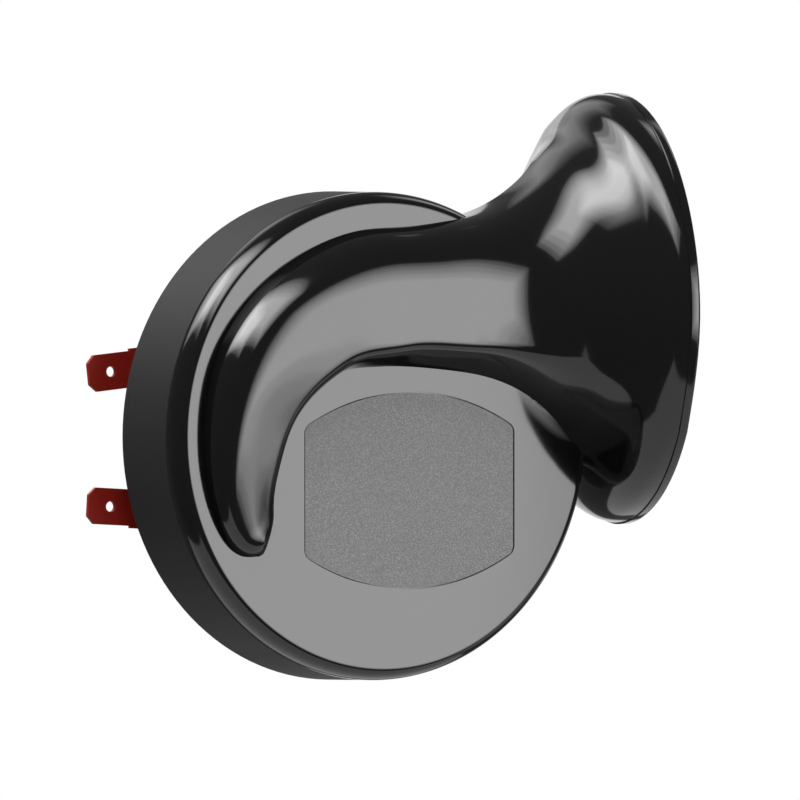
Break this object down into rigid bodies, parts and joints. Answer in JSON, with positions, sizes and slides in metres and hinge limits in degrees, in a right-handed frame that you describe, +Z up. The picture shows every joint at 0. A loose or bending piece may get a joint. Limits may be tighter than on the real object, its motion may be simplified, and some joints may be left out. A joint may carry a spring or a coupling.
{
  "type": "car horn",
  "caption": "Electric car horn with a disc body, a spiral sound channel on its face that widens into a flared bell, spade tabs and a rear fixing stud.",
  "frame": {"origin": "on the axis of the fixing stud, in the plane of the core nut's back face, where a bracket seats", "axes": "+Y along the stud, away from the face; +Z up; +X towards the open bell"},
  "size_m": [0.1122, 0.0888, 0.105],
  "materials": {
    "gloss_black": "moulded gloss",
    "matte_black": "fine spark-eroded texture",
    "foil_black": "speckled satin",
    "gasket_paper": "matte",
    "spring_steel": "rolled",
    "armature_steel": "turned and zinc plated",
    "zinc_steel": "bright zinc plate",
    "can_paint": "black electrophoretic paint",
    "bobbin_plastic": "moulded",
    "winding": "enamelled copper wire",
    "fibre": "laminated sheet",
    "contact_metal": "ground",
    "collar_plastic": "moulded",
    "brass_plain": "turned",
    "block_plastic": "moulded",
    "tab_metal": "dark red lacquered"
  },
  "bodies": {
    "housing": {"front_shell": "gloss_black", "rear_shell": "matte_black", "face_label": "foil_black", "front_gasket": "gasket_paper", "diaphragm": "spring_steel", "rear_gasket": "gasket_paper", "motor_can": "can_paint", "can_screws": "zinc_steel", "pole_core": "zinc_steel", "core_washer": "zinc_steel", "core_nut": "zinc_steel", "coil_bobbin": "bobbin_plastic", "coil_winding": "winding", "contact_insulators": "fibre", "contact_arm": "spring_steel", "contact_bracket": "zinc_steel", "fixed_contact": "contact_metal", "moving_contact": "contact_metal", "contact_rivets": "brass_plain", "tone_screw": "brass_plain", "terminal_block": "block_plastic", "terminal_tab_upper": "tab_metal", "terminal_tab_lower": "tab_metal", "terminal_rivets": "brass_plain", "terminal_washers": "fibre"},
    "armature": {"armature": "armature_steel", "armature_washer": "zinc_steel", "armature_nut": "zinc_steel", "contact_pusher": "collar_plastic"}
  },
  "joints": [
    {"name": "armature_travel", "type": "slide", "parent": "housing", "child": "armature", "axis": [0, 1, 0], "range_m": [-0.0002, 0.0005], "stiffness_N_per_m": 20000, "deforming": ["diaphragm", "contact_arm", "moving_contact"]}
  ]
}
